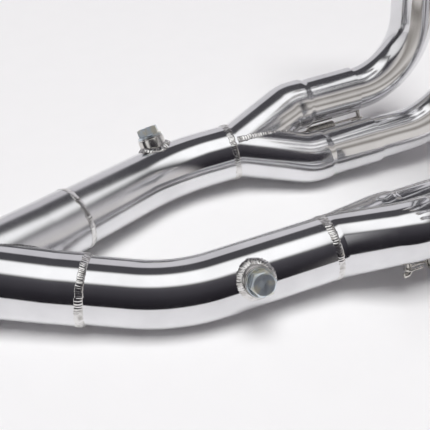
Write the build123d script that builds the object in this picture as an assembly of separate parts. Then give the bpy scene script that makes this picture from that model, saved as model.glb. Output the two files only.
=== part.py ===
from build123d import *
from math import acos, asin, atan2, cos, degrees, hypot, radians, sin, tan
import os

# Motorcycle exhaust header, four pipes into two into one, in millimetres.
# X points forwards, Y to the left of the machine and Z up; the origin is the centre of the outlet's mouth.

# Tube stock
primary_od = 40.0
primary_wall = 1.2
secondary_od = 50.8
secondary_wall = 1.5
branch_od = 46.5
branch_wall = 1.5
merge_wall = 1.5
outlet_od = 60.0
outlet_wall = 1.5

# Height of the outlet's axis above the surface that the header lies on
outlet_height = 34.0

# Outlet pipe, with a drawn-down spigot that the next pipe slips over
outlet_length = 125.0
spigot_od = 57.0
spigot_length = 50.0
spigot_taper = 6.0

# Rear merge: run from its outlet end to the lip that each secondary pipe enters
merge_neck = 5.0
right_merge_run = 91.5
left_merge_run = 98.5
merge_lip_length = 22.0
lip_clearance = 0.1
secondary_insert = 14.0

# Secondary pipes: the corner of the one bend of each, and the straight run from it to the collector
right_corner_x = 273.0
right_corner_y = -55.3
right_corner_height = 24.5
right_front_run = 120.5
right_yaw = 2.4
right_pitch = 4.75
left_corner_x = 304.8
left_corner_y = 89.2
left_corner_height = 26.0
left_front_run = 56.5
left_yaw = 2.2
left_pitch = 5.2
secondary_bend = 150.0

# Two-into-one collectors: branches apart by this pitch, each drawn down to a socket
collector_neck = 5.0
right_collector_run = 74.0
left_collector_run = 85.0
right_roll = 35.5
left_roll = 31.0
branch_pitch = 54.0
branch_bend = 30.0
branch_land = 7.0
socket_taper = 7.0
socket_length = 46.0
socket_wall = 1.5
slip_clearance = 0.2

# Primary pipes, from their sockets up to the cylinder head
primary_insert = 38.0
primary_bend = 60.0
outer_knee_run = 62.0
inner_knee_run = 102.0
port_pitch = 86.0
engine_centre_y = 22.5
port_x = 490.0
port_height = 300.0
port_tilt = 50.0
port_run = 70.0

# Turned collars on the port ends
collar_bore = 37.0
collar_hub_od = 44.0
collar_hub_length = 8.0
collar_flange_od = 50.0
collar_flange_length = 5.0
collar_spigot_od = 43.0
collar_spigot_length = 7.0

# Springs and hooks over each slip joint, the hooks' runs taken from the ends of the socket;
# the angle is from straight down towards the right
spring_od = 9.5
spring_wire = 2.0
spring_coils = 14
spring_lead = 14.0
spring_room = 2.0
leg_sink = 1.5
hook_wire = 4.0
hook_reach = 4.0
hook_tail = 5.0
hook_clearance = 0.3
primary_hook_run = 4.0
left_hook_run = 15.0
right_hook_run = 23.0
left_outer_spring_angle = 25.0
left_inner_spring_angle = -52.0
right_outer_spring_angle = 28.0
right_inner_spring_angle = 52.0

# Sensor bosses with their blanking plugs: run back along the pipe from its front end, and rise above level
right_boss_run = 65.0
right_boss_rise = 37.5
left_boss_run = 64.0
left_boss_rise = 52.0
boss_od = 23.0
boss_bore = 18.4
boss_height = 7.5
washer_od = 22.0
washer_thickness = 1.4
plug_thread_od = 18.0
plug_thread_length = 11.0
plug_flange_od = 21.0
plug_flange_thickness = 2.2
plug_across_flats = 17.0
plug_hex_height = 7.0
plug_face_od = 15.2
plug_dimple = 5.0

# Weld beads
bead_width = 7.0
bead_height = 1.6
lip_bead_length = 5.2
lip_bead_bulge = 0.6
weld_room = 0.05
seam_radius = 2.4
seam_sink = 0.9
seam_gap = 4.0
boss_weld_od = 31.0
boss_weld_height = 3.6
collar_weld = 3.2

primary_radius = primary_od / 2
secondary_radius = secondary_od / 2
branch_radius = branch_od / 2
outlet_radius = outlet_od / 2
lip_radius = secondary_radius + lip_clearance + merge_wall
socket_bore = primary_radius + slip_clearance
socket_radius = socket_bore + socket_wall
half_pitch = branch_pitch / 2
up = Vector(0, 0, 1)
forwards = Vector(1, 0, 0)


def above_ground(x, y, height):
    return Vector(x, y, height - outlet_height)


def heading(yaw, pitch):
    flat = cos(radians(pitch))
    return Vector(flat * cos(radians(yaw)), flat * sin(radians(yaw)), sin(radians(pitch)))


def disc(centre, normal, radius):
    return Plane(origin=centre, z_dir=normal) * Circle(radius)


def rod(path, radius, clear_side=None):
    # The tube's own seam line is turned a quarter away from the side that is to stay clear of it
    start = path % 0
    if clear_side is None:
        plane = Plane(origin=path @ 0, z_dir=start)
    else:
        plane = Plane(origin=path @ 0, x_dir=clear_side.cross(start), z_dir=start)
    return sweep(plane * Circle(radius), path=path)


def turned(outline, start, direction):
    # Outline points are (distance along the axis, radius), closed along the axis by the last point
    profile = make_face(Polyline(*[(radius, along) for along, radius in outline], close=True))
    solid = revolve(Plane.XZ * profile, axis=Axis.Z)
    return Plane(origin=start, z_dir=direction).location * solid


def ring_bead(centre, direction, radius):
    # Weld cap over a butt joint: a low arch standing on the pipe
    half = bead_width / 2
    arch = ThreePointArc((radius, -half), (radius + bead_height, 0), (radius, half))
    profile = make_face([arch.edge(), Line((radius, half), (radius, -half)).edge()])
    return Plane(origin=centre, z_dir=direction).location * revolve(Plane.XZ * profile, axis=Axis.Z)


def lip_bead(centre, direction, pipe_radius, outer, length):
    # Fillet weld in the corner between a pipe and the end face of the lip around it
    inner = pipe_radius + weld_room
    arch = ThreePointArc((outer, 0), ((inner + outer) / 2 + lip_bead_bulge, length / 2), (inner, length))
    edges = [arch.edge(), Line((inner, length), (inner, 0)).edge(), Line((inner, 0), (outer, 0)).edge()]
    return Plane(origin=centre, z_dir=direction).location * revolve(Plane.XZ * make_face(edges), axis=Axis.Z)


def crotch_reach(neck_radius, run, angle, end_radius):
    # Distance from the neck at which the inner edge of a tapered branch crosses the plane between the branches
    along = run * cos(angle) + end_radius * sin(angle)
    clear = run * sin(angle) - end_radius * cos(angle)
    return along * neck_radius / (neck_radius + clear)


def seam_bead(plane, start, radius, reach):
    # The seam of two branches is half an ellipse in the plane between them, with its tip in the crotch
    half_span = degrees(acos(seam_gap / reach))
    arc = EllipticalCenterArc((start, 0), reach, radius - seam_sink, -half_span, arc_size=2 * half_span)
    return plane.location * rod(arc, seam_radius)


# One side of the header: the line of its secondary pipe and the frame of its collector
class Side:
    def __init__(self, name, sign, corner, yaw, pitch, front_run, merge_run, collector_run, roll, hook_run):
        self.name = name
        self.sign = sign
        self.corner = corner
        self.ahead = heading(yaw, pitch)
        self.front = corner + self.ahead * front_run
        self.back = (corner - merge_centre).normalized()
        self.lip = merge_centre + self.back * merge_run
        self.collector_run = collector_run
        level = Vector(-sin(radians(yaw)), cos(radians(yaw)), 0) * sign
        rise = self.ahead.cross(level) * sign
        self.outward = level * cos(radians(roll)) + rise * sin(radians(roll))
        self.collector = Plane(origin=self.front, x_dir=self.ahead, z_dir=self.ahead.cross(self.outward))
        self.socket_start = collector_run + socket_taper / 2
        self.socket_end = self.socket_start + socket_length
        self.spring_span = hook_run + socket_taper / 2 + socket_length + primary_hook_run

    def socket(self, place):
        return self.front + self.ahead * self.socket_end + self.outward * (half_pitch * place)


merge_centre = Vector(outlet_length, 0, 0)
right = Side("right", -1, above_ground(right_corner_x, right_corner_y, right_corner_height), right_yaw, right_pitch,
             right_front_run, right_merge_run, right_collector_run, right_roll, right_hook_run)
left = Side("left", 1, above_ground(left_corner_x, left_corner_y, left_corner_height), left_yaw, left_pitch,
            left_front_run, left_merge_run, left_collector_run, left_roll, left_hook_run)
parts = {}

# Outlet pipe
outlet_outline = [(0, spigot_od / 2), (spigot_length, spigot_od / 2), (spigot_length + spigot_taper, outlet_radius),
                  (outlet_length, outlet_radius), (outlet_length, outlet_radius - outlet_wall),
                  (spigot_length + spigot_taper, outlet_radius - outlet_wall),
                  (spigot_length, spigot_od / 2 - outlet_wall), (0, spigot_od / 2 - outlet_wall)]
parts["outlet_pipe"] = turned(outlet_outline, Vector(0, 0, 0), forwards)
parts["outlet_weld"] = ring_bead(merge_centre, forwards, outlet_radius)

# Rear merge: two tapered branches, notched together on the plane between them
split_way = (right.back + left.back).normalized()
split_side = up.cross(split_way).normalized()
merge_split = Plane(origin=merge_centre, z_dir=split_side)
neck_end = merge_centre + forwards * merge_neck


def merge_pieces(side, inset):
    lip_start = side.lip - side.back * merge_lip_length
    neck_disc = disc(neck_end, forwards, outlet_radius - inset)
    lip_disc = disc(lip_start, side.back, lip_radius - inset)
    neck = turned([(0, 0), (0, outlet_radius - inset), (merge_neck, outlet_radius - inset), (merge_neck, 0)],
                  merge_centre, forwards)
    lip = turned([(0, 0), (0, lip_radius - inset), (merge_lip_length, lip_radius - inset), (merge_lip_length, 0)],
                 lip_start, side.back)
    return [neck, loft([neck_disc, lip_disc]), lip]


def fused(pieces):
    whole = pieces[0]
    for piece in pieces[1:]:
        whole = whole + piece
    return whole


merge_angle = radians(left.back.get_angle(right.back) / 2)
merge_length = (right_merge_run + left_merge_run) / 2 - merge_lip_length - merge_neck
merge_reach = crotch_reach(outlet_radius, merge_length, merge_angle, lip_radius)
seam_plane = Plane(origin=merge_centre, x_dir=split_way, z_dir=split_side)
merge_seam = seam_bead(seam_plane, merge_neck, outlet_radius, merge_reach)
for side in (right, left):
    keep = Keep.TOP if side.sign > 0 else Keep.BOTTOM
    solid = split(fused(merge_pieces(side, 0)), bisect_by=merge_split, keep=keep)
    parts[f"rear_merge_{side.name}_branch"] = solid - fused(merge_pieces(side, merge_wall))
    parts[f"{side.name}_rear_weld"] = lip_bead(side.lip, side.back, secondary_radius, lip_radius, lip_bead_length)
    merge_seam = merge_seam - solid
parts["rear_merge_seam_weld"] = merge_seam

# Secondary pipes, each with a hole under its sensor boss
boss_places = {"right": (right_boss_run, right_boss_rise), "left": (left_boss_run, left_boss_rise)}
for side in (right, left):
    start = side.lip - side.back * secondary_insert
    path = FilletPolyline(start, side.corner, side.front, radius=secondary_bend)
    run, rise = boss_places[side.name]
    foot = path.position_at(path.length - run, position_mode=PositionMode.LENGTH)
    way = path.tangent_at(path.length - run, position_mode=PositionMode.LENGTH)
    level = up.cross(way).normalized() * side.sign
    boss_way = level * cos(radians(rise)) + way.cross(level) * side.sign * sin(radians(rise))
    crown = foot + boss_way * secondary_radius
    hole = turned([(0, 0), (0, boss_bore / 2), (secondary_od, boss_bore / 2), (secondary_od, 0)], foot, boss_way)
    solid_pipe = rod(path, secondary_radius, boss_way)
    pipe_bore = rod(path, secondary_radius - secondary_wall, boss_way)
    parts[f"{side.name}_secondary_pipe"] = solid_pipe - pipe_bore - hole
    parts[f"{side.name}_front_weld"] = ring_bead(side.front, side.ahead, secondary_radius)
    sunk = secondary_radius / 2
    boss = turned([(-sunk, boss_bore / 2), (-sunk, boss_od / 2), (boss_height, boss_od / 2), (boss_height, boss_bore / 2)],
                  crown, boss_way)
    parts[f"{side.name}_sensor_boss"] = boss - solid_pipe
    weld = turned([(-sunk, boss_od / 2), (-sunk, boss_weld_od / 2), (0, boss_weld_od / 2), (boss_weld_height, boss_od / 2)],
                  crown, boss_way)
    parts[f"{side.name}_boss_weld"] = weld - solid_pipe
    seat = crown + boss_way * boss_height
    washer = [(0, boss_bore / 2), (0, washer_od / 2), (washer_thickness, washer_od / 2), (washer_thickness, boss_bore / 2)]
    parts[f"{side.name}_plug_washer"] = turned(washer, seat, boss_way)
    head = seat + boss_way * washer_thickness
    shank = [(-plug_thread_length, 0), (-plug_thread_length, plug_thread_od / 2), (0, plug_thread_od / 2),
             (0, plug_flange_od / 2), (plug_flange_thickness, plug_flange_od / 2), (plug_flange_thickness, 0)]
    plane = Plane(origin=head + boss_way * plug_flange_thickness, z_dir=boss_way, x_dir=way)
    hexagon = extrude(plane * RegularPolygon(plug_across_flats / 2, 6, major_radius=False), plug_hex_height)
    corner = plug_across_flats / 2 / cos(radians(30))
    shoulder = plug_hex_height - (corner - plug_face_od / 2) * tan(radians(30))
    crowned = [(0, 0), (0, corner), (shoulder, corner), (plug_hex_height, plug_face_od / 2),
               (plug_hex_height, plug_dimple / 2), (plug_hex_height - plug_dimple / 4, 0)]
    parts[f"{side.name}_sensor_plug"] = turned(shank, head, boss_way) + (hexagon & turned(crowned, plane.origin, boss_way))


# Collector branches, built along X in the collector's own frame with the branch to +Y
def branch_form(side, inset, bore):
    bend_end = side.collector_run - socket_taper / 2 - branch_land
    knee = bend_end - branch_bend * tan(branch_angle(side) / 2)
    land_end = bend_end + branch_land
    path = FilletPolyline((collector_neck, 0), (knee, half_pitch), (land_end, half_pitch), radius=branch_bend)
    sweep_start = path.edges()[0] @ 1
    sweep_way = path.edges()[0] % 1
    wide = secondary_radius - inset
    narrow = branch_radius - inset
    neck = turned([(0, 0), (0, wide), (collector_neck, wide), (collector_neck, 0)], Vector(0, 0, 0), forwards)
    taper = loft([disc((collector_neck, 0, 0), forwards, wide), disc(sweep_start, sweep_way, narrow)])
    bend = rod(path.edges()[1], narrow)
    end = [(0, 0), (0, narrow), (branch_land, narrow), (branch_land + socket_taper, bore),
           (branch_land + socket_taper + socket_length, bore), (branch_land + socket_taper + socket_length, 0)]
    return neck + taper + bend + turned(end, Vector(bend_end, half_pitch, 0), forwards)


def branch_angle(side):
    # Angle of the straight run that leaves the neck and is tangent to the bend at the branch's own line
    reach = side.collector_run - socket_taper / 2 - branch_land - collector_neck
    drop = half_pitch - branch_bend
    return atan2(drop, reach) + asin(branch_bend / hypot(reach, drop))


solid_branches = {}
for side in (right, left):
    outer = branch_form(side, 0, socket_radius)
    inner = mirror(outer, about=Plane.XZ)
    shell = split(outer - branch_form(side, branch_wall, socket_bore), bisect_by=Plane.XZ, keep=Keep.BOTTOM)
    parts[f"{side.name}_collector_outer_branch"] = side.collector.location * shell
    parts[f"{side.name}_collector_inner_branch"] = side.collector.location * mirror(shell, about=Plane.XZ)
    angle = branch_angle(side)
    straight = (half_pitch - branch_bend * (1 - cos(angle))) / sin(angle)
    reach = crotch_reach(secondary_radius, straight, angle, branch_radius)
    seam = seam_bead(Plane.XZ, collector_neck, secondary_radius, reach) - (outer + inner)
    parts[f"{side.name}_collector_seam_weld"] = side.collector.location * seam
    solid_branches[side.name] = {1: side.collector.location * outer, -1: side.collector.location * inner}

# Primary pipes, port collars, springs and hooks, numbered from the left of the machine
spring_line = socket_radius + spring_room + spring_od / 2
loop = (hook_wire + spring_wire) / 2 + hook_clearance
loop_bend = loop * 0.95
port_way = Vector(-sin(radians(port_tilt)), 0, cos(radians(port_tilt)))
joints = [("left_outer", left, 1, 1.5, outer_knee_run, left_outer_spring_angle),
          ("left_inner", left, -1, 0.5, inner_knee_run, left_inner_spring_angle),
          ("right_inner", right, -1, -0.5, inner_knee_run, right_inner_spring_angle),
          ("right_outer", right, 1, -1.5, outer_knee_run, right_outer_spring_angle)]


def hook(centre, out, tail_way, pipe):
    # Bent rod standing on a solid pipe, its tail turned away from the spring
    top = centre + out * (spring_line + hook_reach)
    path = FilletPolyline(centre + out * (socket_radius / 2), top, top + tail_way * hook_tail, radius=hook_wire * 0.75)
    return rod(path, hook_wire / 2) - pipe


def spring_form(span):
    # Spring along Z between two rods: a ridge for each turn of the coil, and a U-shaped hook around each rod
    coil_length = spring_coils * spring_wire
    ridges = [(0, spring_od / 2 - spring_wire)]
    for turn in range(spring_coils):
        ridges.append((turn * spring_wire, spring_od / 2 - spring_wire / 2))
        ridges.append(((turn + 0.5) * spring_wire, spring_od / 2))
    ridges += [(coil_length, spring_od / 2 - spring_wire / 2), (coil_length, spring_od / 2 - spring_wire)]
    spring = turned(ridges, Vector(0, 0, spring_lead), up)
    for post, inward, coil_end in ((0, 1, spring_lead), (span, -1, spring_lead + coil_length)):
        leg = FilletPolyline((0, loop, coil_end + inward * leg_sink), (0, loop, post - inward * loop),
                             (0, -loop, post - inward * loop), (0, -loop, post + inward * loop), radius=loop_bend)
        spring = spring + rod(leg, spring_wire / 2)
    return spring


springs = {side.name: spring_form(side.spring_span) for side in (right, left)}
for name, side, place, port, knee_run, angle in joints:
    socket = side.socket(place)
    ahead = side.ahead
    mouth = above_ground(port_x, engine_centre_y + port * port_pitch, port_height)
    collar_length = collar_hub_length + collar_flange_length + collar_spigot_length
    seat = mouth - port_way * collar_length
    path = FilletPolyline(socket - ahead * primary_insert, socket + ahead * knee_run, mouth - port_way * port_run, seat,
                          radius=primary_bend)
    solid_pipe = rod(path, primary_radius)
    parts[f"{name}_primary_pipe"] = solid_pipe - rod(path, primary_radius - primary_wall)
    steps = [(0, collar_bore / 2), (0, collar_hub_od / 2), (collar_hub_length, collar_hub_od / 2),
             (collar_hub_length, collar_flange_od / 2), (collar_hub_length + collar_flange_length, collar_flange_od / 2),
             (collar_hub_length + collar_flange_length, collar_spigot_od / 2), (collar_length, collar_spigot_od / 2),
             (collar_length, collar_bore / 2)]
    parts[f"{name}_port_collar"] = turned(steps, seat, port_way)
    parts[f"{name}_port_weld"] = lip_bead(seat, port_way * -1, primary_radius, collar_hub_od / 2, collar_weld)
    across = up.cross(ahead).normalized()
    down = ahead.cross(across) * -1
    out = down * cos(radians(angle)) - across * sin(radians(angle))
    second = socket + ahead * primary_hook_run
    first = second - ahead * side.spring_span
    parts[f"{name}_collector_hook"] = hook(first, out, ahead * -1, solid_branches[side.name][place])
    parts[f"{name}_primary_hook"] = hook(second, out, ahead, solid_pipe)
    spring_frame = Plane(origin=first + out * spring_line, x_dir=out, z_dir=ahead)
    parts[f"{name}_spring"] = spring_frame.location * springs[side.name]

os.makedirs("parts", exist_ok=True)
for name, shape in parts.items():
    shape.label = name
    export_step(shape, f"parts/{name}.step")
lowest = min(shape.bounding_box().min.Z for shape in parts.values())
print(f"{len(parts)} nodes, lowest point {lowest + outlet_height:.2f} above the surface")
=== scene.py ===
import bisect
import bpy
import bmesh
import math
import random
from mathutils import Matrix, Vector


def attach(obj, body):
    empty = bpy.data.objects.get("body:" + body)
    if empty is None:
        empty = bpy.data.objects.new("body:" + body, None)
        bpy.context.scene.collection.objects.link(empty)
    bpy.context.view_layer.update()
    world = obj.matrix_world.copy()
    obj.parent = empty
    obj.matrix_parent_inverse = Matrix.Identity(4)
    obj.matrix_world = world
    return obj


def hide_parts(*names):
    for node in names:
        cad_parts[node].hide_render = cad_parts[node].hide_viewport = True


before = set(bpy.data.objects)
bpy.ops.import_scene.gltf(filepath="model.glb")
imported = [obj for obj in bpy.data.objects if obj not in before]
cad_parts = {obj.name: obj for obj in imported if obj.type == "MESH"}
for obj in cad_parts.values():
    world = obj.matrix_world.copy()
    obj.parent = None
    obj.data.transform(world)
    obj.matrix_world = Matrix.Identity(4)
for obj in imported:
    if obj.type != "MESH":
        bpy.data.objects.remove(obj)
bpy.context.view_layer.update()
scene = bpy.context.scene
up = Vector((0, 0, 1))
forwards = Vector((1, 0, 0))
print("frame loaded:", len(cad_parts), "nodes")

# Tube stock, in millimetres, as in the solids
stock = {
    "primary": 40.0, "primaryWall": 1.2, "secondary": 50.8, "secondaryWall": 1.5, "branch": 46.5, "wall": 1.5,
    "outlet": 60.0, "spigot": 57.0, "lip": 54.0, "socketBore": 40.4, "socket": 43.4,
}
ground = -34.0  # table's height under the outlet's axis
fine = 128  # faces around a polished tube
coarse = 96  # faces around a turned part


# Helpers; points are in millimetres until they go into a mesh


def mm(point):  # millimetres to metres
    return Vector(point) * 0.001


def heading(yaw, pitch):
    yaw, pitch = math.radians(yaw), math.radians(pitch)
    flat = math.cos(pitch)
    return Vector((flat * math.cos(yaw), flat * math.sin(yaw), math.sin(pitch)))


def smooth(t):  # 0 to 1 with a gentle start and end
    return 3 * t * t - 2 * t ** 3


def square(vector, axis):  # the part of a vector that is square to an axis, at unit length
    return (vector - axis * vector.dot(axis)).normalized()


def ring(centre, axis, spoke, radius, count):
    spoke = square(spoke, axis)
    other = axis.cross(spoke)
    turns = [2 * math.pi * k / count for k in range(count)]
    return [centre + (spoke * math.cos(t) + other * math.sin(t)) * radius for t in turns]


def filletPath(points, radius, stepAngle):  # (place, direction) along straight runs joined by arcs
    points = [Vector(p) for p in points]
    stations = [(points[0], (points[1] - points[0]).normalized())]
    for before, corner, after in zip(points, points[1:], points[2:]):
        a = (corner - before).normalized()
        b = (after - corner).normalized()
        turn = a.angle(b)
        inward = square(b, a)
        start = corner - a * (radius * math.tan(turn / 2))
        steps = max(2, math.ceil(math.degrees(turn) / stepAngle))
        for k in range(steps + 1):
            t = turn * k / steps
            place = start + inward * radius + (a * math.sin(t) - inward * math.cos(t)) * radius
            stations.append((place, a * math.cos(t) + inward * math.sin(t)))
    stations.append((points[-1], (points[-1] - points[-2]).normalized()))
    return stations


def sweepRings(stations, radius, count):
    spoke = stations[0][1].orthogonal()
    rings = []
    for place, way in stations:
        spoke = square(spoke, way)
        rings.append(ring(place, way, spoke, radius, count))
    return rings


def skin(rings, loop=False, caps=False):  # faces between rings; loop joins the last ring to the first
    bm = bmesh.new()
    uv = bm.loops.layers.uv.new("UVMap")
    count = len(rings[0])
    rows = [[bm.verts.new(mm(p)) for p in row] for row in rings]
    reach = [0.0]
    for a, b in zip(rings, rings[1:] + rings[:1]):
        reach.append(reach[-1] + (b[0] - a[0]).length)
    pairs = len(rows) if loop else len(rows) - 1
    for i in range(pairs):
        below, above = rows[i], rows[(i + 1) % len(rows)]
        for k in range(count):
            n = (k + 1) % count
            face = bm.faces.new((below[k], below[n], above[n], above[k]))
            spots = ((k, i), (k + 1, i), (k + 1, i + 1), (k, i + 1))
            for corner, (u, v) in zip(face.loops, spots):
                corner[uv].uv = (u / count, reach[v] * 0.01)
    if caps:
        bm.faces.new(list(reversed(rows[0])))
        bm.faces.new(rows[-1])
    return bm


def tube(stations, radius, wall):
    outer = sweepRings(stations, radius, fine)
    inner = sweepRings(stations, radius - wall, fine)
    return skin(outer + inner[::-1], loop=True)


def lathe(outline, axis, count):  # a closed outline of (along, radius) points, turned about an axis
    spoke = axis.orthogonal()
    return skin([ring(axis * along, axis, spoke, radius, count) for along, radius in outline], loop=True)


def pieceName(node):
    words = node.split("_")
    return words[0] + "".join(w.capitalize() for w in words[1:])


def addPiece(bm, node, material, sharp=35, at=None):
    bmesh.ops.recalc_face_normals(bm, faces=bm.faces)
    mesh = bpy.data.meshes.new(pieceName(node))
    bm.to_mesh(mesh)
    bm.free()
    mesh.shade_smooth()
    mesh.set_sharp_from_angle(angle=math.radians(sharp))
    mesh.materials.append(material)
    piece = bpy.data.objects.new(pieceName(node), mesh)
    scene.collection.objects.link(piece)
    if at is not None:
        piece.matrix_world = at
    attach(piece, "root")
    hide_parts(node)


def evenly(points, step, closed=False):  # the same line with points a fixed step apart
    line = points + points[:1] if closed else points
    lengths = [(b - a).length for a, b in zip(line, line[1:])]
    total = sum(lengths)
    count = max(8, round(total / step))
    spots = []
    i, passed = 0, 0.0
    for k in range(count if closed else count + 1):
        target = total * k / count
        while i < len(lengths) - 1 and passed + lengths[i] < target:
            passed += lengths[i]
            i += 1
        spots.append(line[i].lerp(line[i + 1], min(1, (target - passed) / lengths[i])))
    return spots


# Materials


def linear(hexColour):  # sRGB hex to linear
    parts = [int(hexColour[i:i + 2], 16) / 255 for i in (1, 3, 5)]
    return [c / 12.92 if c <= 0.04045 else ((c + 0.055) / 1.055) ** 2.4 for c in parts] + [1]


def addNode(tree, kind, settings=None, inputs=None):
    node = tree.nodes.new(kind)
    for key, value in (settings or {}).items():
        setattr(node, key, value)
    for key, value in (inputs or {}).items():
        if isinstance(value, bpy.types.NodeSocket):
            tree.links.new(value, node.inputs[key])
        else:
            node.inputs[key].default_value = value
    return node


def startMaterial(name):
    material = bpy.data.materials.new(name)
    material.use_nodes = True
    tree = material.node_tree
    return material, tree, tree.nodes["Principled BSDF"]


def rampStops(node, stops):
    elements = node.color_ramp.elements
    while len(elements) < len(stops):
        elements.new(0.5)
    for element, (place, colour) in zip(elements, stops):
        element.position = place
        element.color = linear(colour)


def metalFinish(tree, shader, tint, rough, bump=None):
    shader.inputs["Metallic"].default_value = 1.0
    tree.links.new(tint.outputs["Color"], shader.inputs["Base Color"])
    tree.links.new(rough.outputs[0], shader.inputs["Roughness"])
    if bump:
        tree.links.new(bump.outputs[0], shader.inputs["Normal"])


# Stainless steel, polished on soft wheels: a clear mirror that wavers a little, with a faint haze
polishing = {
    "colour": "#E5E5E7", "dull": "#DADADC", "hazeMm": 40.0, "grainMm": 0.5, "waveMm": 26.0,
    "waveHeightMm": 0.02, "smooth": 0.06, "hazy": 0.14, "satin": 0.14, "satinMm": (215.0, 320.0),
    "brushed": 0.045,
}


# satinMm is the stretch along X where a duller finish clears to the mirror; blur dulls the whole piece
def polishedStainless(name, satinMm=None, blur=0.0):
    material, tree, shader = startMaterial(name)
    place = addNode(tree, "ShaderNodeTexCoord").outputs["Object"]
    haze = addNode(tree, "ShaderNodeTexNoise", None, {
        "Vector": place, "Scale": 1000 / polishing["hazeMm"], "Detail": 4.0})
    grain = addNode(tree, "ShaderNodeTexNoise", None, {
        "Vector": place, "Scale": 1000 / polishing["grainMm"], "Detail": 2.0})
    mixed = addNode(tree, "ShaderNodeMath", {"operation": "MULTIPLY"}, {
        0: haze.outputs["Fac"], 1: grain.outputs["Fac"]})
    rough = addNode(tree, "ShaderNodeMapRange", None, {
        "Value": mixed.outputs[0], "From Min": 0.12, "From Max": 0.42,
        "To Min": polishing["smooth"] + blur, "To Max": polishing["hazy"] + blur})
    if satinMm:
        along = addNode(tree, "ShaderNodeSeparateXYZ", None, {0: place})
        dull = addNode(tree, "ShaderNodeMapRange", {"interpolation_type": "SMOOTHSTEP"}, {
            "Value": along.outputs["X"], "From Min": satinMm[0] * 0.001, "From Max": satinMm[1] * 0.001,
            "To Min": polishing["satin"], "To Max": 0.0})
        rough = addNode(tree, "ShaderNodeMath", {"operation": "ADD"}, {
            0: rough.outputs[0], 1: dull.outputs[0]})
    tint = addNode(tree, "ShaderNodeValToRGB", None, {"Fac": haze.outputs["Fac"]})
    rampStops(tint, [(0.35, polishing["dull"]), (0.6, polishing["colour"])])
    wave = addNode(tree, "ShaderNodeTexNoise", None, {
        "Vector": place, "Scale": 1000 / polishing["waveMm"], "Detail": 1.0})
    bump = addNode(tree, "ShaderNodeBump", None, {
        "Height": wave.outputs["Fac"], "Strength": 1.0, "Distance": polishing["waveHeightMm"] * 0.001})
    metalFinish(tree, shader, tint, rough, bump)
    return material


# Stainless weld metal: cast-looking and satin, a little browner than the tube
welding = {"colour": "#E2E1E0", "dark": "#B4B1AE", "patchMm": 5.0, "grainMm": 0.9, "grainHeightMm": 0.12,
           "bright": 0.08, "dull": 0.24}


def weldStainless():
    material, tree, shader = startMaterial("stainless weld bead")
    place = addNode(tree, "ShaderNodeTexCoord").outputs["Object"]
    grain = addNode(tree, "ShaderNodeTexNoise", None, {
        "Vector": place, "Scale": 1000 / welding["grainMm"], "Detail": 3.0})
    patch = addNode(tree, "ShaderNodeTexNoise", None, {
        "Vector": place, "Scale": 1000 / welding["patchMm"], "Detail": 2.0})
    tint = addNode(tree, "ShaderNodeValToRGB", None, {"Fac": patch.outputs["Fac"]})
    rampStops(tint, [(0.3, welding["dark"]), (0.55, welding["colour"])])
    rough = addNode(tree, "ShaderNodeMapRange", None, {
        "Value": grain.outputs["Fac"], "From Min": 0.3, "From Max": 0.7,
        "To Min": welding["bright"], "To Max": welding["dull"]})
    bump = addNode(tree, "ShaderNodeBump", None, {
        "Height": grain.outputs["Fac"], "Strength": 0.5, "Distance": welding["grainHeightMm"] * 0.001})
    metalFinish(tree, shader, tint, rough, bump)
    return material


# Turned steel: rings left by the tool, around each piece's own Z axis, under patches of a second tint
turning = {"patchMm": 7.0, "smoother": 0.8, "rougher": 1.2}


def turnedSteel(name, colour, tintColour, ringMm, ringDepthMm, rough):
    material, tree, shader = startMaterial(name)
    place = addNode(tree, "ShaderNodeTexCoord").outputs["Object"]
    flat = addNode(tree, "ShaderNodeVectorMath", {"operation": "MULTIPLY"}, {0: place, 1: (1, 1, 0)})
    radius = addNode(tree, "ShaderNodeVectorMath", {"operation": "LENGTH"}, {0: flat.outputs[0]})
    phase = addNode(tree, "ShaderNodeMath", {"operation": "MULTIPLY"}, {
        0: radius.outputs["Value"], 1: 2 * math.pi * 1000 / ringMm})
    rings = addNode(tree, "ShaderNodeMath", {"operation": "SINE"}, {0: phase.outputs[0]})
    patch = addNode(tree, "ShaderNodeTexNoise", None, {
        "Vector": place, "Scale": 1000 / turning["patchMm"], "Detail": 3.0})
    tint = addNode(tree, "ShaderNodeValToRGB", None, {"Fac": patch.outputs["Fac"]})
    rampStops(tint, [(0.42, colour), (0.62, tintColour)])
    roughness = addNode(tree, "ShaderNodeMapRange", None, {
        "Value": patch.outputs["Fac"], "From Min": 0.3, "From Max": 0.7,
        "To Min": rough * turning["smoother"], "To Max": rough * turning["rougher"]})
    bump = addNode(tree, "ShaderNodeBump", None, {
        "Height": rings.outputs[0], "Strength": 1.0, "Distance": ringDepthMm * 0.001})
    metalFinish(tree, shader, tint, roughness, bump)
    return material


# Drawn spring wire: bright, with fine scratches from the die
drawing = {"colour": "#D8D5D0", "dark": "#B9B5AF", "scratchMm": 0.8, "bright": 0.12, "dull": 0.24}


def drawnWire():
    material, tree, shader = startMaterial("drawn stainless wire")
    place = addNode(tree, "ShaderNodeTexCoord").outputs["Object"]
    scratch = addNode(tree, "ShaderNodeTexNoise", None, {
        "Vector": place, "Scale": 1000 / drawing["scratchMm"], "Detail": 3.0})
    rough = addNode(tree, "ShaderNodeMapRange", None, {
        "Value": scratch.outputs["Fac"], "From Min": 0.3, "From Max": 0.7,
        "To Min": drawing["bright"], "To Max": drawing["dull"]})
    tint = addNode(tree, "ShaderNodeValToRGB", None, {"Fac": scratch.outputs["Fac"]})
    rampStops(tint, [(0.3, drawing["dark"]), (0.6, drawing["colour"])])
    metalFinish(tree, shader, tint, rough)
    return material


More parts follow.
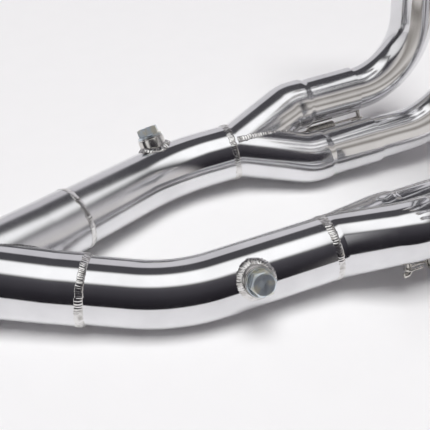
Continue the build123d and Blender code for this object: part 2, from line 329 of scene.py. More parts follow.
steel = polishedStainless("polished stainless steel")
satinSteel = polishedStainless("satin stainless steel", satinMm=polishing["satinMm"])
brushedSteel = polishedStainless("brushed stainless steel", blur=polishing["brushed"])
weldMetal = weldStainless()
wire = drawnWire()
bossSteel = turnedSteel("turned stainless steel", "#CFCCC8", "#DAD8D4",
                        ringMm=0.35, ringDepthMm=0.006, rough=0.2)
plugSteel = turnedSteel("zinc plated steel", "#D6E0E8", "#DEDDD0",
                        ringMm=0.9, ringDepthMm=0.012, rough=0.41)
washerMetal = turnedSteel("soft aluminium", "#D6D6D4", "#C8C8C6",
                          ringMm=0.5, ringDepthMm=0.008, rough=0.3)
print("materials made")

# Lines of the two sides: corners are measured from the table, and angles are in degrees
outlet = {"length": 125.0, "spigotLength": 50.0, "taper": 6.0, "edge": 0.4}
mergeCentre = Vector((outlet["length"], 0, 0))
sides = {
    "right": {"sign": -1, "corner": (273.0, -55.3, 24.5), "yaw": 2.4, "pitch": 4.75, "roll": 35.5,
              "frontRun": 120.5, "mergeRun": 91.5, "collectorRun": 74.0, "hookRun": 23.0,
              "bossRun": 65.0, "bossRise": 37.5, "rearSteel": steel, "frontSteel": steel},
    "left": {"sign": 1, "corner": (304.8, 89.2, 26.0), "yaw": 2.2, "pitch": 5.2, "roll": 31.0,
             "frontRun": 56.5, "mergeRun": 98.5, "collectorRun": 85.0, "hookRun": 15.0,
             "bossRun": 64.0, "bossRise": 52.0, "rearSteel": satinSteel, "frontSteel": brushedSteel},
}
for side in sides.values():
    x, y, aboveTable = side["corner"]
    side["corner"] = Vector((x, y, aboveTable + ground))
    side["ahead"] = heading(side["yaw"], side["pitch"])
    side["front"] = side["corner"] + side["ahead"] * side["frontRun"]
    side["back"] = (side["corner"] - mergeCentre).normalized()
    side["lip"] = mergeCentre + side["back"] * side["mergeRun"]
    yaw, roll = math.radians(side["yaw"]), math.radians(side["roll"])
    level = Vector((-math.sin(yaw), math.cos(yaw), 0)) * side["sign"]
    rise = side["ahead"].cross(level) * side["sign"]
    side["outward"] = level * math.cos(roll) + rise * math.sin(roll)

# Weld beads: a row of overlapping pools along a line; the pairs are limits of random draws
bead = {
    "step": 0.32, "around": 18, "pitch": 1.7, "ripple": 0.45, "lag": 0.6, "core": 0.85, "swing": 0.15,
    "wander": 0.08, "wanderRate": (0.02, 0.09), "wanderPhase": (0, 6.28),
    "poolLength": (0.55, 1.6), "poolFullness": (0.5, 1.0), "poolShift": (-0.1, 0.1),
}
beadSizes = {  # half width, height and depth
    "butt": (3.3, 0.55, 0.7), "lip": (3.3, 0.7, 0.7), "seam": (3.2, 1.0, 1.0), "boss": (3.4, 1.25, 1.4),
    "port": (1.9, 1.1, 0.7),
}


def weldBead(points, outs, kind, seed, closed):
    halfWidth, height, depth = beadSizes[kind]
    rng = random.Random(seed)
    drift = [(rng.uniform(*bead["wanderRate"]), rng.uniform(*bead["wanderPhase"])) for _ in range(4)]
    count = len(points)
    starts, pools = [], []  # each pool's start along the line, then its length, fullness and sideways shift
    reach = -bead["pitch"]
    while reach < (count + 4) * bead["step"]:
        length = bead["pitch"] * rng.uniform(*bead["poolLength"])
        starts.append(reach)
        pools.append((length, rng.uniform(*bead["poolFullness"]), rng.uniform(*bead["poolShift"])))
        reach += length
    rings = []
    for i, (point, out) in enumerate(zip(points, outs)):
        before = points[i - 1] if closed or i else point
        after = points[(i + 1) % count] if closed or i < count - 1 else point
        way = (after - before).normalized()
        out = square(out, way)
        across = way.cross(out)
        along = i * bead["step"]
        wander = 1 + bead["wander"] * sum(math.sin(along * f + p) for f, p in drift)
        row = []
        for k in range(bead["around"]):
            t = 2 * math.pi * k / bead["around"]
            spot = along + bead["lag"] * math.cos(t) ** 2
            n = bisect.bisect_right(starts, spot) - 1
            length, full, shift = pools[n]
            swell = full * (1 - bead["ripple"] * (2 * (spot - starts[n]) / length - 1) ** 2)
            lift = height * swell * wander if math.sin(t) > 0 else depth
            aside = halfWidth * wander * ((bead["core"] + bead["swing"] * swell) * math.cos(t) + shift)
            row.append(point + across * aside + out * (lift * math.sin(t)))
        rings.append(row)
    return skin(rings, loop=closed, caps=not closed)


def addBead(node, points, outs, kind, seed, closed):
    addPiece(weldBead(points, outs, kind, seed, closed), node, weldMetal, sharp=60)


def ringBead(node, centre, axis, radius, kind, seed, lean=0.0):  # lean tips the bead toward the axis
    lean = math.radians(lean)
    spots = evenly(ring(centre, axis, axis.orthogonal(), radius, 240), bead["step"], closed=True)
    outs = [(p - centre).normalized() * math.cos(lean) + axis * math.sin(lean) for p in spots]
    addBead(node, spots, outs, kind, seed, True)


# Outlet pipe: a spigot, a short taper and the full tube, with the spigot's mouth broken at its edges
outletRadius, spigotRadius, wall = stock["outlet"] / 2, stock["spigot"] / 2, stock["wall"]
outletBore, spigotBore = outletRadius - wall, spigotRadius - wall
taperStart = outlet["spigotLength"]
taperEnd = taperStart + outlet["taper"]
edge = outlet["edge"]
outline = [(edge, spigotRadius), (taperStart, spigotRadius)]
for t in (0.2, 0.4, 0.6, 0.8):
    radius = spigotRadius + (outletRadius - spigotRadius) * smooth(t)
    outline.append((taperStart + outlet["taper"] * t, radius))
outline += [(taperEnd, outletRadius), (outlet["length"], outletRadius), (outlet["length"], outletBore)]
outline += [(taperEnd, outletBore), (taperStart, spigotBore), (edge, spigotBore)]
outline += [(0, spigotBore + edge), (0, spigotRadius - edge)]
addPiece(lathe(outline, forwards, fine), "outlet_pipe", steel)
ringBead("outlet_weld", mergeCentre, forwards, outletRadius, "butt", 1)

# Rear merge: two tapered branches notched together on one plane, each with a lip for a secondary pipe
merge = {"neck": 5.0, "lipLength": 22.0, "steps": 24, "seamMiddle": 20.0}
lipWeld = {"ahead": 1.8, "sink": 0.75, "lean": 18.0}
lipRadius = stock["lip"] / 2
splitWay = (sides["right"]["back"] + sides["left"]["back"]).normalized()
splitSide = up.cross(splitWay).normalized()


def mergeRings(side, inset):
    neckEnd = mergeCentre + forwards * merge["neck"]
    lipStart = side["lip"] - side["back"] * merge["lipLength"]
    first = ring(neckEnd, forwards, up, outletRadius - inset, fine)
    last = ring(lipStart, side["back"], up, lipRadius - inset, fine)
    steps = merge["steps"]
    rings = [ring(mergeCentre, forwards, up, outletRadius - inset, fine)]
    rings += [[a.lerp(b, t / steps) for a, b in zip(first, last)] for t in range(steps + 1)]
    return rings + [ring(side["lip"], side["back"], up, lipRadius - inset, fine)]


def notched(outer, inner, centre, normal):  # a tube's wall, cut away behind a plane
    bm = skin(outer + inner[::-1], loop=True)
    whole = bm.verts[:] + bm.edges[:] + bm.faces[:]
    cut = bmesh.ops.bisect_plane(bm, geom=whole, plane_co=mm(centre), plane_no=normal, clear_inner=True)
    bmesh.ops.holes_fill(bm, edges=[e for e in cut["geom_cut"] if isinstance(e, bmesh.types.BMEdge)])
    return bm


def seamLine(rings, centre, normal):  # where the lines along a tube cross a plane, in order around the tube
    crossings = []
    for line in zip(*rings):
        depths = [(p - centre).dot(normal) for p in line]
        crossing = None
        for a, b, da, db in zip(line, line[1:], depths, depths[1:]):
            if da < 0 <= db:
                crossing = a.lerp(b, da / (da - db))
                break
        crossings.append(crossing)
    start = next(i for i, p in enumerate(crossings) if p is not None and crossings[i - 1] is None)
    return [p for p in crossings[start:] + crossings[:start] if p is not None]


def seamBead(node, rings, centre, normal, middle, seed):  # middle is a point inside the tubes, near the neck
    spots = evenly(seamLine(rings, centre, normal), bead["step"])
    outs = []
    for i in range(len(spots)):
        way = spots[min(i + 1, len(spots) - 1)] - spots[max(i - 1, 0)]
        out = way.cross(normal)
        outs.append(out if out.dot(spots[i] - middle) > 0 else -out)
    addBead(node, spots, outs, "seam", seed, False)


for name, side in sides.items():
    normal = splitSide * side["sign"]
    outer = mergeRings(side, 0)
    branch = notched(outer, mergeRings(side, wall), mergeCentre, normal)
    addPiece(branch, f"rear_merge_{name}_branch", side["rearSteel"])
    ringBead(f"{name}_rear_weld", side["lip"] + side["back"] * lipWeld["ahead"], side["back"],
             lipRadius - lipWeld["sink"], "lip", 2 + side["sign"], lipWeld["lean"])
    if name == "right":
        middle = mergeCentre + forwards * merge["seamMiddle"]
        seamBead("rear_merge_seam_weld", outer, mergeCentre, normal, middle, 5)
print("outlet and rear merge made")

# Secondary pipes with their sensor bosses, washers and plugs
secondary = {"bend": 150.0, "bendStep": 0.75, "insert": 14.0}
boss = {"od": 23.0, "bore": 18.4, "height": 7.5, "foot": 3.0, "washer": 22.0, "washerThickness": 1.4,
        "washerEdge": 0.2}
bossWeld = {"out": 1.6, "rise": 0.5, "leanOut": 0.65, "leanUp": 0.75, "points": 180}
plug = {"flange": 21.0, "flangeThickness": 2.2, "acrossFlats": 17.0, "hexHeight": 7.0, "face": 15.2,
        "cornerDrop": 1.7, "cornerAngle": 30.0, "slack": 0.12, "dimple": 5.0, "dimpleDepth": 0.3,
        "around": 120}
secondaryRadius = stock["secondary"] / 2


def alongPath(stations, distance):  # the place and direction at a distance back from the path's end
    for (a, wayA), (b, wayB) in zip(stations[-2::-1], stations[:0:-1]):
        length = (b - a).length
        if distance <= length:
            t = distance / length
            return b.lerp(a, t), wayB.lerp(wayA, t).normalized()
        distance -= length


def pieceFrame(start, axis, spoke):  # a piece's own frame in metres, with Z along its axis
    spoke = square(spoke, axis)
    turn = Matrix((spoke, axis.cross(spoke), axis)).transposed().to_4x4()
    return Matrix.Translation(mm(start)) @ turn


def hexPlug():  # flange, hexagon with its corners turned off, and a turned face with a shallow dimple
    count = plug["around"]
    apothem, top = plug["acrossFlats"] / 2, plug["flangeThickness"] + plug["hexHeight"]

    def row(z, limit, hexagon=False):
        spots = []
        for k in range(count):
            t = 2 * math.pi * k / count
            r = limit
            if hexagon:
                fromFlat = math.radians(360 * k / count) % math.radians(60) - math.radians(30)
                r = min(limit, apothem / math.cos(fromFlat) - plug["slack"])
            spots.append(Vector((r * math.cos(t), r * math.sin(t), z)))
        return spots

    flange, thick, face = plug["flange"] / 2, plug["flangeThickness"], plug["face"] / 2
    rows = [row(0, 6), row(0, flange - 0.3), row(0.3, flange), row(thick - 0.5, flange)]
    rows += [row(thick - 0.1, flange - 0.35), row(thick, flange - 0.8)]
    rows += [row(thick, flange * 2, True), row(top - 1.9, flange * 2, True)]
    for k in range(11):  # the cone that the corners are turned to
        drop = plug["cornerDrop"] * (1 - k / 10)
        rows.append(row(top - drop, face + drop / math.tan(math.radians(plug["cornerAngle"])), True))
    rows += [row(top, face - 0.4), row(top, face * 0.6)]
    rows += [row(top, plug["dimple"] / 2), row(top - plug["dimpleDepth"], 0.4)]
    return skin(rows, caps=True)


for name, side in sides.items():
    start = side["lip"] - side["back"] * secondary["insert"]
    stations = filletPath([start, side["corner"], side["front"]], secondary["bend"], secondary["bendStep"])
    pipe = tube(stations, secondaryRadius, stock["secondaryWall"])
    addPiece(pipe, f"{name}_secondary_pipe", side["rearSteel"])
    ringBead(f"{name}_front_weld", side["front"], side["ahead"], secondaryRadius, "butt", 8 + side["sign"])

    foot, way = alongPath(stations, side["bossRun"])
    level = up.cross(way).normalized() * side["sign"]
    rise = math.radians(side["bossRise"])
    axis = level * math.cos(rise) + way.cross(level) * side["sign"] * math.sin(rise)
    crown = foot + axis * secondaryRadius
    across = axis.cross(way)
    od, bore, top = boss["od"] / 2, boss["bore"] / 2, boss["height"]
    outline = [(-boss["foot"], od), (top - 0.5, od), (top - 0.15, od - 0.15), (top, od - 0.5), (top, bore),
               (-boss["foot"], bore)]
    addPiece(lathe(outline, up, coarse), f"{name}_sensor_boss", bossSteel,
             at=pieceFrame(crown, axis, way))
    weldRadius = od + bossWeld["out"]
    seam = []
    for k in range(bossWeld["points"]):  # the line around the boss on the pipe's own surface
        t = 2 * math.pi * k / bossWeld["points"]
        aside = weldRadius * math.sin(t)
        drop = secondaryRadius - math.sqrt(secondaryRadius ** 2 - aside ** 2)
        spot = crown + way * (weldRadius * math.cos(t)) + across * aside
        seam.append(spot - axis * (drop - bossWeld["rise"]))
    seam = evenly(seam, bead["step"], closed=True)
    outs = [square(p - crown, axis) * bossWeld["leanOut"] + axis * bossWeld["leanUp"] for p in seam]
    addBead(f"{name}_boss_weld", seam, outs, "boss", 20 + side["sign"], True)
    seat = crown + axis * top
    washer, thick, edge = boss["washer"] / 2, boss["washerThickness"], boss["washerEdge"]
    outline = [(0, bore), (0, washer - edge), (edge, washer), (thick - edge, washer), (thick, washer - edge),
               (thick, bore)]
    addPiece(lathe(outline, up, coarse), f"{name}_plug_washer", washerMetal,
             at=pieceFrame(seat, axis, way))
    addPiece(hexPlug(), f"{name}_sensor_plug", plugSteel, sharp=25,
             at=pieceFrame(seat + axis * thick, axis, way))
print("secondary pipes made")

# Collectors: two bent branches each, drawn down to sockets
collector = {"neck": 5.0, "pitch": 54.0, "bend": 30.0, "bendStep": 1.5, "land": 7.0, "taper": 7.0,
             "socketLength": 46.0, "steps": 20, "seamMiddle": 12.0}
branchRadius, halfPitch = stock["branch"] / 2, collector["pitch"] / 2


def branchRings(side, inset, socketRadius, place):  # place is 1 for the outer branch and -1 for the inner one
    neck, land, taper, bend = (collector[key] for key in ("neck", "land", "taper", "bend"))
    bendEnd = side["collectorRun"] - taper / 2 - land
    reach, drop = bendEnd - neck, halfPitch - bend
    angle = math.atan2(drop, reach) + math.asin(bend / math.hypot(reach, drop))
    knee = bendEnd - bend * math.tan(angle / 2)
    line = [(neck, 0, 0), (knee, halfPitch, 0), (bendEnd + 1, halfPitch, 0)]
    stations = filletPath(line, bend, collector["bendStep"])[1:-1]
    first = ring(Vector((neck, 0, 0)), forwards, up, secondaryRadius - inset, fine)
    thin = branchRadius - inset
    bends = [ring(p, way, up, thin, fine) for p, way in stations]
    steps = collector["steps"]
    rings = [ring(Vector((0, 0, 0)), forwards, up, secondaryRadius - inset, fine)]
    rings += [[a.lerp(b, t / steps) for a, b in zip(first, bends[0])] for t in range(steps)] + bends
    ends = [(land, thin)]
    for t in (0.15, 0.3, 0.45, 0.6, 0.75, 0.9):
        ends.append((land + taper * t, thin + (socketRadius - thin) * smooth(t)))
    ends += [(land + taper, socketRadius), (land + taper + collector["socketLength"], socketRadius)]
    for along, radius in ends:
        rings.append(ring(Vector((bendEnd + along, halfPitch, 0)), forwards, up, radius, fine))
    ahead, outward = side["ahead"], side["outward"]
    third = ahead.cross(outward)

    def placed(p):
        return side["front"] + ahead * p.x + outward * (p.y * place) + third * p.z

    return [[placed(p) for p in row] for row in rings]


for name, side in sides.items():
    for word, place in (("outer", 1), ("inner", -1)):
        outer = branchRings(side, 0, stock["socket"] / 2, place)
        inner = branchRings(side, wall, stock["socketBore"] / 2, place)
        branch = notched(outer, inner, side["front"], side["outward"] * place)
        addPiece(branch, f"{name}_collector_{word}_branch", side["frontSteel"])
    middle = side["front"] + side["ahead"] * collector["seamMiddle"]
    seamBead(f"{name}_collector_seam_weld", outer, side["front"], -side["outward"], middle, 30 + side["sign"])
print("collectors made")

# Primary pipes, port collars, hooks and springs
primary = {"insert": 38.0, "bend": 60.0, "bendStep": 1.5, "outerKnee": 62.0, "innerKnee": 102.0,
           "portX": 490.0, "centreY": 22.5, "portPitch": 86.0, "portHeight": 300.0, "portTilt": 50.0,
           "portRun": 70.0}
collar = {"bore": 37.0, "hub": 44.0, "hubLength": 8.0, "flange": 50.0, "flangeLength": 5.0, "nose": 43.0,
          "noseLength": 7.0, "hubEdge": 0.4, "flangeEdge": 0.5, "noseEdge": 0.6, "boreEdge": 0.3}
portWeld = {"back": 0.9, "lean": 50.0}
spring = {"od": 9.5, "wire": 2.0, "turns": 14, "turnSteps": 28, "spread": 1.02, "lead": 14.0, "room": 2.0,
          "loopRun": 9.0}
hook = {"wire": 4.0, "root": 3.0, "reach": 4.0, "tail": 5.0, "clearance": 0.3, "primaryRun": 4.0, "bend": 3.0,
        "bendStep": 8.0}
wireEnd = {"nose": 0.35, "tip": 0.7}  # as shares of the wire's radius
slipJoints = [  # name, side, branch, port counted from the middle, knee, spring's angle round the pipe
    ("left_outer", "left", 1, 1.5, "outerKnee", 25.0),
    ("left_inner", "left", -1, 0.5, "innerKnee", -52.0),
    ("right_inner", "right", -1, -0.5, "innerKnee", 52.0),
    ("right_outer", "right", 1, -1.5, "outerKnee", 28.0),
]
tilt = math.radians(primary["portTilt"])
portWay = Vector((-math.sin(tilt), 0, math.cos(tilt)))
primaryRadius = stock["primary"] / 2
springLine = stock["socket"] / 2 + spring["room"] + spring["od"] / 2
loopRadius = (hook["wire"] + spring["wire"]) / 2 + hook["clearance"]


def collarOutline():
    parts = ("hub", "flange", "nose", "bore")
    hub, flange, nose, bore = (collar[part] / 2 for part in parts)
    hubEdge, flangeEdge, noseEdge, boreEdge = (collar[part + "Edge"] for part in parts)
    a, b = collar["hubLength"], collar["hubLength"] + collar["flangeLength"]
    c = b + collar["noseLength"]
    return [(0, bore), (0, hub - hubEdge), (hubEdge, hub), (a, hub), (a, flange - flangeEdge),
            (a + flangeEdge, flange), (b - flangeEdge, flange), (b, flange - flangeEdge), (b, nose),
            (c - noseEdge, nose), (c, nose - noseEdge), (c, bore + boreEdge), (c - boreEdge, bore)]


def wireRod(points, radius, count):  # a round wire along close points, with its ends rounded over
    final = len(points) - 1
    ways = [(points[min(i + 1, final)] - points[max(i - 1, 0)]).normalized() for i in range(len(points))]
    rings = sweepRings(list(zip(points, ways)), radius, count)
    nose, tip = wireEnd["nose"] * radius, wireEnd["tip"]
    front = [points[0] + (p - points[0]) * tip - ways[0] * nose for p in rings[0]]
    back = [points[-1] + (p - points[-1]) * tip + ways[-1] * nose for p in rings[-1]]
    return skin([front] + rings + [back], caps=True)


def springPath(span):  # close coil with a leg and a U-shaped hook at each end, in the spring's own frame
    coil = (spring["od"] - spring["wire"]) / 2
    turns = spring["turns"]
    startZ = spring["lead"] + spring["wire"] / 2
    coilRun = turns * spring["wire"] * spring["spread"] - spring["wire"]

    def legEnd(post, coilEnd, toward):  # from the hook's free tip round the post to the coil
        spots = [Vector((0, -loopRadius, post + toward * spring["loopRun"] * t)) for t in (1.0, 0.5, 0.0)]
        for k in range(1, 13):
            t = math.pi * k / 12
            spots.append(Vector((0, -loopRadius * math.cos(t), post - toward * loopRadius * math.sin(t))))
        gap = coilEnd - post
        return spots + [Vector((0, loopRadius, post + gap * t)) for t in (0.2, 0.4, 0.6)]

    points = legEnd(0.0, startZ, 1)
    steps = spring["turnSteps"] * turns
    for k in range(steps + 1):
        t = k / steps
        turn = math.pi / 2 + 2 * math.pi * turns * t
        ease = min(1, min(t, 1 - t) * turns * 2)
        radius = loopRadius + (coil - loopRadius) * ease
        points.append(Vector((radius * math.cos(turn), radius * math.sin(turn), startZ + coilRun * t)))
    return points + legEnd(span, startZ + coilRun, -1)[::-1]


collarLength = collar["hubLength"] + collar["flangeLength"] + collar["noseLength"]
for name, sideName, place, port, knee, angle in slipJoints:
    side = sides[sideName]
    ahead = side["ahead"]
    socketEnd = side["collectorRun"] + collector["taper"] / 2 + collector["socketLength"]
    socket = side["front"] + ahead * socketEnd + side["outward"] * (halfPitch * place)
    mouthY = primary["centreY"] + port * primary["portPitch"]
    mouth = Vector((primary["portX"], mouthY, primary["portHeight"] + ground))
    seat = mouth - portWay * collarLength
    line = [socket - ahead * primary["insert"], socket + ahead * primary[knee]]
    line += [mouth - portWay * primary["portRun"], seat]
    pipe = tube(filletPath(line, primary["bend"], primary["bendStep"]), primaryRadius, stock["primaryWall"])
    addPiece(pipe, f"{name}_primary_pipe", brushedSteel)
    addPiece(lathe(collarOutline(), up, coarse), f"{name}_port_collar", bossSteel,
             at=pieceFrame(seat, portWay, forwards))
    weldRadius = (collar["hub"] / 2 + primaryRadius) / 2
    ringBead(f"{name}_port_weld", seat - portWay * portWeld["back"], -portWay, weldRadius, "port",
             40 + int(port * 2), portWeld["lean"])

    across = up.cross(ahead).normalized()
    down = -ahead.cross(across)
    out = down * math.cos(math.radians(angle)) - across * math.sin(math.radians(angle))
    span = side["hookRun"] + collector["taper"] / 2 + collector["socketLength"] + hook["primaryRun"]
    second = socket + ahead * hook["primaryRun"]
    first = second - ahead * span
    posts = (("collector", first, branchRadius, -ahead), ("primary", second, primaryRadius, ahead))
    for word, base, surface, tail in posts:
        corner = base + out * (springLine + hook["reach"])
        line = [base + out * (surface - hook["root"]), corner, corner + tail * hook["tail"]]
        points = [p for p, _ in filletPath(line, hook["bend"], hook["bendStep"])]
        addPiece(wireRod(points, hook["wire"] / 2, 24), f"{name}_{word}_hook", wire)
    turn = Matrix((out, ahead.cross(out), ahead)).transposed()
    origin = first + out * springLine
    points = [origin + turn @ p for p in springPath(span)]
    addPiece(wireRod(points, spring["wire"] / 2, 12), f"{name}_spring", wire)
print("primary pipes, collars and springs made")

# Table, light and camera; from here on lengths are in metres, but the camera's place is in millimetres
view = {"position": (215.0, -341.7, 338.2), "azimuth": -17.0, "elevation": 42.5, "lens": 51.9, "sensor": 36.0}
studio = {"middle": 0.33, "back": "#F4F4F4", "fill": (0.165, 0.15, 0.165, 1)}
turn = math.radians(view["azimuth"])
towardCamera = Vector((math.sin(turn), -math.cos(turn), 0))
toRight = Vector((math.cos(turn), math.sin(turn), 0))


def startGlow(name):  # a material that shines by itself, with its nodes still to come
    material = bpy.data.materials.new(name)
    material.use_nodes = True
    material.node_tree.nodes.clear()
    return material, material.node_tree


def rectangle(length, width):
    bm = bmesh.new()
    bmesh.ops.create_grid(bm, x_segments=1, y_segments=1, size=0.5)
    bmesh.ops.scale(bm, vec=(length, width, 1), verts=bm.verts)
    return bm


def addBoard(bm, name, material, location=(0, 0, 0), rotation=(0, 0, 0), onlyReflected=True):
    mesh = bpy.data.meshes.new(name)
    bm.to_mesh(mesh)
    bm.free()
    mesh.materials.append(material)
    board = bpy.data.objects.new(name, mesh)
    board.location = location
    board.rotation_euler = rotation
    if onlyReflected:
        for flag in ("visible_camera", "visible_diffuse", "visible_shadow", "visible_transmission"):
            setattr(board, flag, False)
    scene.collection.objects.link(board)


tableTop = {"colour": "#F8F8F8", "pale": "#F9F9F9", "mottleMm": 30.0, "roughness": 0.6, "gloss": 0.1,
            "size": 16.0, "middle": 0.3}
laminate, tree, shader = startMaterial("white laminate table")
place = addNode(tree, "ShaderNodeTexCoord").outputs["Object"]
mottle = addNode(tree, "ShaderNodeTexNoise", None, {
    "Vector": place, "Scale": 1000 / tableTop["mottleMm"], "Detail": 3.0})
tint = addNode(tree, "ShaderNodeValToRGB", None, {"Fac": mottle.outputs["Fac"]})
rampStops(tint, [(0.3, tableTop["colour"]), (0.7, tableTop["pale"])])
tree.links.new(tint.outputs["Color"], shader.inputs["Base Color"])
shader.inputs["Roughness"].default_value = tableTop["roughness"]
shader.inputs["Specular IOR Level"].default_value = tableTop["gloss"]
addBoard(rectangle(tableTop["size"], tableTop["size"]), "table", laminate,
         (tableTop["middle"], 0, ground * 0.001), onlyReflected=False)

lamp = {"strength": 11.35, "size": 4.0, "height": 8.0, "angle": 9.0}
lampData = bpy.data.lights.new("softbox", "AREA")
lampData.size = lamp["size"]
lampData.energy = lamp["strength"] * math.pi * lamp["size"] ** 2
softbox = bpy.data.objects.new("softbox", lampData)
lampShift = lamp["height"] * math.tan(math.radians(lamp["angle"]))
softbox.location = Vector((studio["middle"], 0, lamp["height"])) + towardCamera * lampShift
softbox.rotation_euler = (0, 0, turn)
softbox.visible_glossy = False
scene.collection.objects.link(softbox)

# The softbox's cloth, brighter in its middle than at its edges, is what the polished steel shows
cloth = {"strength": 1.25, "edgeStrength": 0.07, "height": 1.6, "length": 2.4, "nearAngle": 24.6,
         "farAngle": 26.5, "softEnds": 0.3, "softSides": 0.22}
clothMaterial, tree = startGlow("softbox cloth")
place = addNode(tree, "ShaderNodeTexCoord").outputs["Generated"]
spot = addNode(tree, "ShaderNodeSeparateXYZ", None, {0: place})
shares = []
for axis, soft in (("X", cloth["softEnds"]), ("Y", cloth["softSides"])):
    offset = addNode(tree, "ShaderNodeMath", {"operation": "SUBTRACT"}, {0: spot.outputs[axis], 1: 0.5})
    offset = addNode(tree, "ShaderNodeMath", {"operation": "ABSOLUTE"}, {0: offset.outputs[0]})
    shares.append(addNode(tree, "ShaderNodeMapRange", {"interpolation_type": "SMOOTHSTEP"}, {
        "Value": offset.outputs[0], "From Min": 0.5, "From Max": 0.5 - soft, "To Min": 0.0, "To Max": 1.0}))
share = addNode(tree, "ShaderNodeMath", {"operation": "MULTIPLY"}, {
    0: shares[0].outputs[0], 1: shares[1].outputs[0]})
power = addNode(tree, "ShaderNodeMath", {"operation": "MULTIPLY_ADD"}, {
    0: share.outputs[0], 1: cloth["strength"] - cloth["edgeStrength"], 2: cloth["edgeStrength"]})
glow = addNode(tree, "ShaderNodeEmission", None, {"Strength": power.outputs[0]})
addNode(tree, "ShaderNodeOutputMaterial", None, {"Surface": glow.outputs[0]})
nearEdge = cloth["height"] * math.tan(math.radians(cloth["nearAngle"]))
farEdge = -cloth["height"] * math.tan(math.radians(cloth["farAngle"]))
clothMiddle = Vector((studio["middle"], 0, cloth["height"] + ground * 0.001))
addBoard(rectangle(cloth["length"], nearEdge - farEdge), "softboxCloth", clothMaterial,
         clothMiddle + towardCamera * ((nearEdge + farEdge) / 2), (0, 0, turn))

# Painted reflection: a dim glowing board leans at the left, out of the picture, seen only in the steel, and
# draws the dark band along the upright pipe
paintedDarkReflection = {
    "colour": "#3C3A3E",
    "corners": [(-0.07, 0.12, -0.03), (-0.05, -0.22, -0.03), (-0.036, 0.33, 0.385), (0.055, 0.5, 0.385)],
}
darkReflectionGlow, tree = startGlow("painted dark reflection")
# The board's dim glow paints a dark reflection in the steel
glow = addNode(tree, "ShaderNodeEmission", None, {"Color": linear(paintedDarkReflection["colour"])})
addNode(tree, "ShaderNodeOutputMaterial", None, {"Surface": glow.outputs[0]})
darkReflectionFace = bmesh.new()
darkReflectionFace.faces.new([darkReflectionFace.verts.new(corner) for corner in paintedDarkReflection["corners"]])
addBoard(darkReflectionFace, "paintedDarkReflection", darkReflectionGlow)

# Painted reflection: a glowing board with wavering light and shade streaks stands between the sides, seen
# only in the steel; it faces the far one and is clear from behind
paintedStreakReflection = {"startX": 0.47, "endX": 0.78, "y": 0.03, "height": 0.15, "light": "#E2DEDA", "shade": "#86817B",
            "top": "#6C6A70", "waves": 5.0, "sway": 0.12}
streakReflectionGlow, tree = startGlow("painted streak reflection")
place = addNode(tree, "ShaderNodeTexCoord").outputs["Generated"]
spot = addNode(tree, "ShaderNodeSeparateXYZ", None, {0: place})
sway = addNode(tree, "ShaderNodeTexNoise", {"noise_dimensions": "1D"}, {
    "W": spot.outputs["X"], "Scale": paintedStreakReflection["waves"], "Detail": 1.0})
streak = addNode(tree, "ShaderNodeMath", {"operation": "MULTIPLY_ADD"}, {
    0: sway.outputs["Fac"], 1: paintedStreakReflection["sway"], 2: spot.outputs["Y"]})
tint = addNode(tree, "ShaderNodeValToRGB", None, {"Fac": streak.outputs[0]})
light, shade = paintedStreakReflection["light"], paintedStreakReflection["shade"]
# Painted light and shade streaks, shown only as reflections in the far side's steel
rampStops(tint, [(0.0, light), (0.2, light), (0.27, shade), (0.4, light), (0.62, shade), (0.7, light),
                 (1.0, paintedStreakReflection["top"])])
glow = addNode(tree, "ShaderNodeEmission", None, {"Color": tint.outputs["Color"]})
facing = addNode(tree, "ShaderNodeNewGeometry")
clear = addNode(tree, "ShaderNodeBsdfTransparent")
oneSided = addNode(tree, "ShaderNodeMixShader", None, {
    0: facing.outputs["Backfacing"], 1: glow.outputs[0], 2: clear.outputs[0]})
addNode(tree, "ShaderNodeOutputMaterial", None, {"Surface": oneSided.outputs[0]})
streakReflectionMiddle = ((paintedStreakReflection["startX"] + paintedStreakReflection["endX"]) / 2, paintedStreakReflection["y"], paintedStreakReflection["height"] / 2)
addBoard(rectangle(paintedStreakReflection["endX"] - paintedStreakReflection["startX"], paintedStreakReflection["height"]), "paintedStreakReflection", streakReflectionGlow,
         streakReflectionMiddle, (math.radians(90), 0, math.pi))

# A dim room behind the camera, paler at both sides, and a bright wall low behind the table, seen only in the
# steel; the stops run over the turn from the camera's side, over the top, to the far side
rooms = {
    "middle": [(0.0, "#1E1C20"), (0.15, "#302E33"), (0.32, "#4C4A4F"), (0.46, "#6C6A70")],
    "left": [(0.0, "#D8D6D8"), (0.2, "#F4F4F4"), (0.42, "#FAFAFA"), (0.5, "#504F53")],
    "right": [(0.0, "#C8C4C0"), (0.12, "#DEDAD8"), (0.4, "#D6D4D6"), (0.56, "#A9A8AC")],
}
farWall = [(0.645, "#504F53"), (0.80, "#504F53"), (0.825, "#DAD8DC"), (1.0, "#DAD8DC")]
roomEdges = {"left": (-0.36, -0.56), "right": (0.56, 0.82)}
world = bpy.data.worlds.new("studio")
world.use_nodes = True
scene.world = world
tree = world.node_tree
tree.nodes.clear()
direction = addNode(tree, "ShaderNodeTexCoord").outputs["Generated"]
near = addNode(tree, "ShaderNodeVectorMath", {"operation": "DOT_PRODUCT"}, {0: direction, 1: towardCamera})
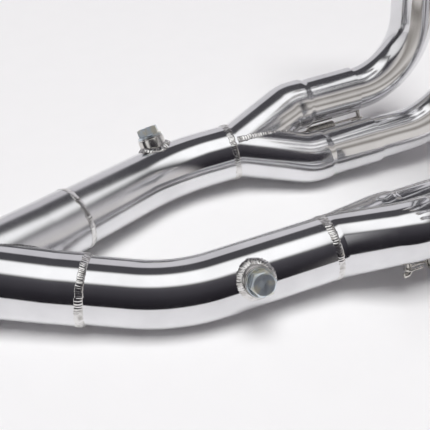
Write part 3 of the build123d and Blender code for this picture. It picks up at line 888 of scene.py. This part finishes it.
sideways = addNode(tree, "ShaderNodeVectorMath", {"operation": "DOT_PRODUCT"}, {0: direction, 1: toRight})
high = addNode(tree, "ShaderNodeSeparateXYZ", None, {0: direction})
angle = addNode(tree, "ShaderNodeMath", {"operation": "ARCTAN2"}, {
    0: high.outputs["Z"], 1: near.outputs["Value"]})
turnShare = addNode(tree, "ShaderNodeMath", {"operation": "DIVIDE"}, {0: angle.outputs[0], 1: math.pi})
ramps = {}
for key, stops in rooms.items():
    ramps[key] = addNode(tree, "ShaderNodeValToRGB", None, {"Fac": turnShare.outputs[0]})
    rampStops(ramps[key], stops + farWall)
seen = ramps["middle"].outputs["Color"]
for key, (start, full) in roomEdges.items():
    share = addNode(tree, "ShaderNodeMapRange", {"interpolation_type": "SMOOTHSTEP"}, {
        "Value": sideways.outputs["Value"], "From Min": start, "From Max": full,
        "To Min": 0.0, "To Max": 1.0})
    blend = addNode(tree, "ShaderNodeMix", {"data_type": "RGBA"}, {
        0: share.outputs[0], 6: seen, 7: ramps[key].outputs["Color"]})
    seen = blend.outputs[2]
rays = addNode(tree, "ShaderNodeLightPath")
lit = addNode(tree, "ShaderNodeMix", {"data_type": "RGBA"}, {
    0: rays.outputs["Is Glossy Ray"], 6: studio["fill"], 7: seen})
shown = addNode(tree, "ShaderNodeMix", {"data_type": "RGBA"}, {
    0: rays.outputs["Is Camera Ray"], 6: lit.outputs[2], 7: linear(studio["back"])})
background = addNode(tree, "ShaderNodeBackground", None, {"Color": shown.outputs[2]})
addNode(tree, "ShaderNodeOutputWorld", None, {"Surface": background.outputs[0]})

lens = bpy.data.cameras.new("camera")
lens.sensor_fit = "HORIZONTAL"
lens.sensor_width = view["sensor"]
lens.lens = view["lens"]
lens.clip_start = 0.01
camera = bpy.data.objects.new("camera", lens)
camera.location = mm(view["position"])
camera.rotation_euler = (math.radians(90 - view["elevation"]), 0, turn)
scene.collection.objects.link(camera)
scene.camera = camera
scene.view_settings.view_transform = "Standard"
print("table, light and camera set")
